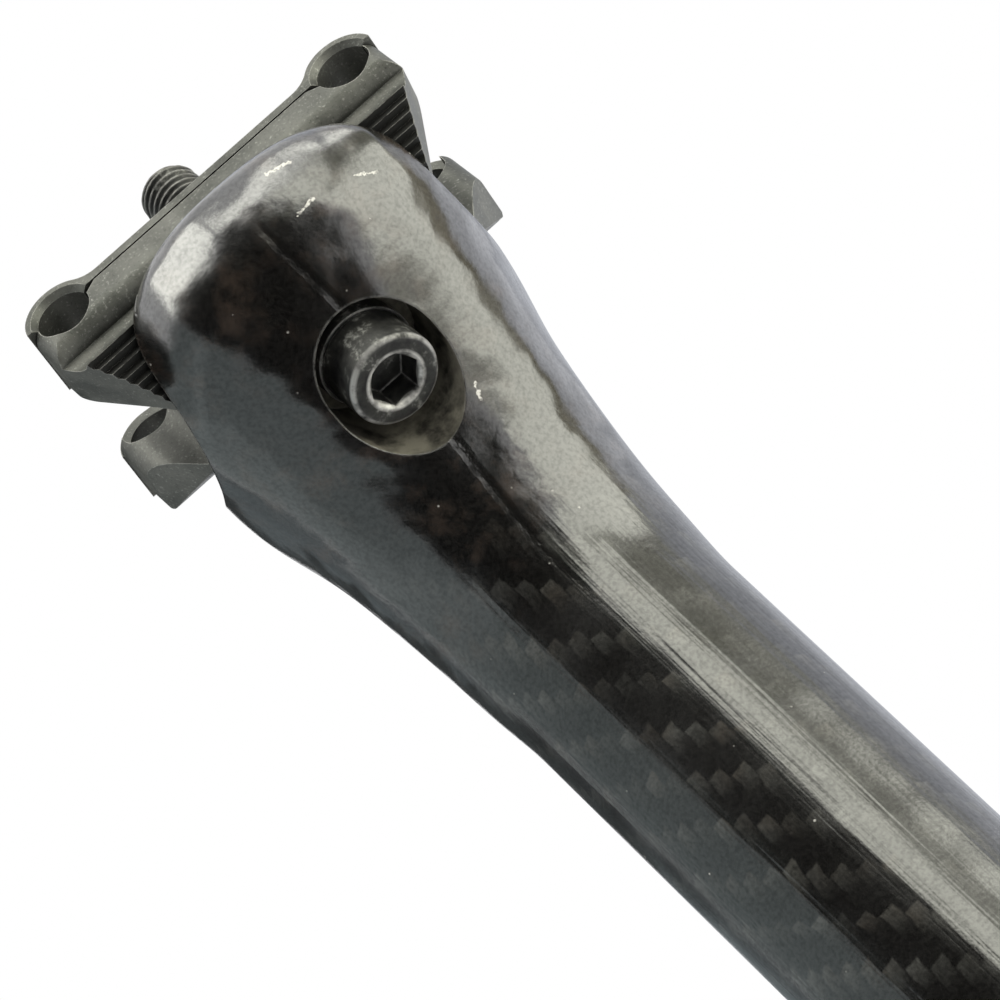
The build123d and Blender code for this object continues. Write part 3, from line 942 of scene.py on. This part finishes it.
def steel_material():
    n = Nodes(bpy.data.materials.new("black_steel"))
    place = n.add("ShaderNodeTexCoord").outputs["Object"]
    soft, edge = n.edge_wear(STEEL_EDGE, 5.0)
    patch = n.noise(place, 280.0, 5.0, 0.65)
    fine = n.noise(place, 1600.0, 3.0, 0.6)
    base = n.mix(n.span(patch, 0.35, 0.65), OXIDE_DARK, OXIDE_PALE)
    scuff = n.times(n.span(patch, 0.52, 0.62), n.span(fine, 0.45, 0.62))
    base = n.mix(n.math("MULTIPLY", scuff, 0.55), base, GRAIN_PALE)

    # The rim of the screw head and the mouth of its socket are painted bright: wear and a painted
    # highlight
    inward, up, width = RIM_WORN_HIGHLIGHT
    rim = n.near_ring(place, BOLT_HEAD_R - inward, BOLT_HEAD_LOW + up, width)
    outward, up, width = MOUTH_WORN_HIGHLIGHT
    mouth = n.near_ring(place, HEX_ACROSS / 2 + outward, BOLT_HEAD_LOW + up, width)
    wear_and_highlight = n.math("MAXIMUM", edge, n.math("MAXIMUM", n.math("MULTIPLY", rim, 0.6), mouth))
    wear = n.times(wear_and_highlight, n.span(n.noise(place, 500.0, 3.0, 0.6), 0.3, 0.55))
    base = n.mix(n.math("MULTIPLY", wear, 0.85), base, STEEL_WEAR_AND_HIGHLIGHT)
    shader = n.add("ShaderNodeBsdfPrincipled", {
        "Base Color": base,
        "Metallic": STEEL_METALLIC,
        "Roughness": n.span(patch, 0.3, 0.7, 0.28, 0.46),
        "Normal": n.bump(fine, 0.4, GRAIN_HEIGHT * MM, soft),
    })
    return n.finish(shader)


def dress(obj, material):
    obj.data.materials.clear()
    obj.data.materials.append(material)


carbon = carbon_material()
clamp_alloy = alloy_material("black_alloy", CLAMP_DARK, CLAMP_PALE)
insert_alloy = alloy_material("insert_alloy", INSERT_DARK, INSERT_PALE)
black_steel = steel_material()

post = build_post()
dress(post, carbon)
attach(post, "post")
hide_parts("post")

bolt = build_bolt()
dress(bolt, black_steel)
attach(bolt, "clamp")
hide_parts("clamp_bolt")

cradle = build_cradle()
dress(cradle, clamp_alloy)
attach(cradle, "clamp")
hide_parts("lower_cradle")

dress(nodes["seat_insert"], insert_alloy)
dress(nodes["lower_cradle"], clamp_alloy)
dress(nodes["upper_clamp"], clamp_alloy)
dress(nodes["bolt_washer"], black_steel)
dress(nodes["post"], carbon)
dress(nodes["clamp_bolt"], black_steel)


# Studio: a pale floor disc under the post, a tent of screens round it and a white background
DISC_R = 150.0
DISC_DROP = 0.02
DISC_SIDES = 96
DISC_GREY = colour(0.8, 0.8, 0.8)
TENT_R = 900.0
TENT_MIDDLE = 300.0
# Above this strength a screen also lights matt faces
PLAIN_STRENGTH = 1.0
SCREEN_COLUMNS = 24
SCREEN_ROWS = 16
CAMERA_SIDE = -98.13
AMBIENT = 0.8
WHITE = colour(1.0, 1.0, 1.0)

FLAG_BLACK = (0.012, 0.011, 0.01)
BOX_WHITE = (1.0, 1.0, 0.88)
TOP_WHITE = (1.0, 1.0, 0.92)
RIGHT_GREY = (0.42, 0.42, 0.33)
# Screens of the tent. Each has its span at its foot and at its top, in degrees round from the
# camera's side (positive to the right), how low and how high it reaches in degrees, its colour and
# its strength.
SCREENS = [
    ("flag_front", (-42.0, 43.0), (-40.0, 32.0), -68.0, -10.0, FLAG_BLACK, 1.0),
    ("flag_middle", (-40.0, 32.0), (-47.0, 25.0), -10.0, 24.0, FLAG_BLACK, 1.0),
    ("flag_shaft", (-47.0, 21.0), (-49.0, 17.0), 24.0, 42.0, FLAG_BLACK, 1.0),
    ("screen_bay", (46.0, 106.0), (54.0, 102.0), -54.0, -33.0, (0.9, 0.88, 0.75), 1.0),
    ("softbox_low", (54.0, 102.0), (30.0, 94.0), -33.0, 12.0, BOX_WHITE, 3.0),
    ("softbox_middle", (48.0, 94.0), (76.0, 90.0), 12.0, 23.0, BOX_WHITE, 3.0),
    ("screen_notch", (42.0, 48.0), (53.0, 76.0), 12.0, 23.0, (0.9, 0.9, 0.75), 1.0),
    ("softbox_right_low", (27.0, 42.0), (24.0, 53.0), 12.0, 24.0, BOX_WHITE, 2.8),
    ("softbox_right", (24.0, 53.0), (20.0, 50.0), 24.0, 42.0, BOX_WHITE, 2.8),
    ("softbox_edge", (53.0, 61.0), (50.0, 58.0), 24.0, 42.0, (0.5, 0.5, 0.4), 1.0),
    ("softbox_top_left", (-58.0, -6.0), (-58.0, -6.0), 45.0, 64.0, TOP_WHITE, 5.0),
    ("softbox_top_middle", (3.0, 44.0), (3.0, 44.0), 45.0, 60.0, TOP_WHITE, 4.2),
    ("softbox_top_right", (51.0, 73.0), (51.0, 73.0), 45.0, 58.0, TOP_WHITE, 4.0),
    ("screen_right", (61.0, 97.0), (58.0, 96.0), 24.0, 42.0, RIGHT_GREY, 1.0),
    ("screen_right_middle", (94.0, 98.0), (90.0, 97.0), 12.0, 23.0, RIGHT_GREY, 1.0),
    ("screen_right_low", (104.0, 115.0), (94.0, 107.0), -33.0, 12.0, (0.36, 0.31, 0.17), 1.0),
    ("screen_left_low", (-116.0, -43.0), (-116.0, -41.0), -60.0, -10.0, (0.37, 0.42, 0.42), 1.0),
    ("screen_left_middle", (-116.0, -41.0), (-116.0, -46.0), -10.0, 12.0, (0.48, 0.54, 0.54), 1.0),
    ("screen_left_upper", (-116.0, -46.0), (-116.0, -48.0), 12.0, 24.0, (0.34, 0.39, 0.39), 1.0),
    ("screen_left", (-116.0, -48.0), (-116.0, -50.0), 24.0, 42.0, (0.28, 0.32, 0.32), 1.0),
    ("flag_left_low", (-166.0, -118.0), (-166.0, -118.0), -30.0, 25.0, (0.2, 0.23, 0.24), 1.0),
    ("flag_left", (-166.0, -118.0), (-166.0, -118.0), 25.0, 66.0, (0.05, 0.055, 0.055), 1.0),
    ("screen_behind_low", (115.0, 190.0), (107.0, 190.0), -54.0, 20.0, (1.1, 1.12, 1.18), 1.0),
    ("screen_behind", (98.0, 190.0), (97.0, 190.0), 20.0, 66.0, (0.62, 0.64, 0.69), 1.0),
]


def emission_material(name, rgb, strength):
    n = Nodes(bpy.data.materials.new(name))
    return n.finish(n.add("ShaderNodeEmission", {"Color": colour(*rgb), "Strength": strength}))


def floor_material():
    n = Nodes(bpy.data.materials.new("pale_floor"))
    return n.finish(n.add("ShaderNodeBsdfDiffuse", {"Color": DISC_GREY}))


def floor_disc():
    points = ring(DISC_R, -DISC_DROP, DISC_SIDES)
    floor = mesh_object("floor", points, [tuple(range(DISC_SIDES))])
    dress(floor, floor_material())


def screen(name, foot, top, low, high, rgb, strength):
    """Part of a sphere that the camera doesn't see."""
    points = []
    for share in np.linspace(0, 1, SCREEN_ROWS):
        elevation = math.radians(low + (high - low) * share)
        flat = TENT_R * math.cos(elevation)
        height = TENT_MIDDLE + TENT_R * math.sin(elevation)
        ends = np.array(foot) * (1 - share) + np.array(top) * share
        for azimuth in np.radians(CAMERA_SIDE + np.linspace(ends[0], ends[1], SCREEN_COLUMNS)):
            points.append((flat * math.cos(azimuth), flat * math.sin(azimuth), height))
    faces = []
    for i in range(SCREEN_ROWS - 1):
        for j in range(SCREEN_COLUMNS - 1):
            k = i * SCREEN_COLUMNS + j
            faces.append((k, k + 1, k + SCREEN_COLUMNS + 1, k + SCREEN_COLUMNS))
    obj = mesh_object(name, points, faces)
    dress(obj, emission_material(name, rgb, strength))
    obj.visible_camera = False
    obj.visible_diffuse = strength > PLAIN_STRENGTH


def studio_world():
    """White where it is seen or mirrored, a little dimmer as light."""
    n = Nodes(bpy.data.worlds.new("studio"))
    rays = n.add("ShaderNodeLightPath").outputs
    seen = n.math("MAXIMUM", rays["Is Camera Ray"], rays["Is Glossy Ray"])
    seen = n.math("MAXIMUM", seen, rays["Is Transmission Ray"])
    strength = n.span(seen, 0.0, 1.0, AMBIENT, 1.0)
    background = n.add("ShaderNodeBackground", {"Color": WHITE, "Strength": strength})
    return n.finish(background, "ShaderNodeOutputWorld")


floor_disc()
for values in SCREENS:
    screen(*values)
bpy.context.scene.world = studio_world()

# Camera: a long lens from behind and below, rolled over. Places are in millimetres, clips in metres.
LOOK_UP = math.radians(31.42)
LOOK_SIDE = math.radians(8.41)
ROLL = math.radians(-46.43)
TARGET = np.array([2.76, 0.0, 317.07])
DISTANCE = 677.31
FOCAL_PIXELS = 5684.2
IMAGE_PIXELS = 1000
SENSOR_MM = 36.0
CLIP_NEAR = 0.01
CLIP_FAR = 20.0

sight = np.array([
    math.sin(LOOK_SIDE) * math.cos(LOOK_UP),
    math.cos(LOOK_SIDE) * math.cos(LOOK_UP),
    math.sin(LOOK_UP),
])
level = np.array([math.cos(LOOK_SIDE), -math.sin(LOOK_SIDE), 0.0])
upward = np.cross(level, sight)
right = math.cos(ROLL) * level + math.sin(ROLL) * upward
up = -math.sin(ROLL) * level + math.cos(ROLL) * upward
eye = (TARGET - DISTANCE * sight) * MM
camera_data = bpy.data.cameras.new("camera")
camera_data.sensor_width = SENSOR_MM
camera_data.lens = FOCAL_PIXELS / IMAGE_PIXELS * SENSOR_MM
camera_data.clip_start = CLIP_NEAR
camera_data.clip_end = CLIP_FAR
camera = bpy.data.objects.new("camera", camera_data)
bpy.context.scene.collection.objects.link(camera)
camera.matrix_world = Matrix((
    (right[0], up[0], -sight[0], eye[0]),
    (right[1], up[1], -sight[1], eye[1]),
    (right[2], up[2], -sight[2], eye[2]),
    (0.0, 0.0, 0.0, 1.0),
))
bpy.context.scene.camera = camera
bpy.context.scene.view_settings.view_transform = "Standard"
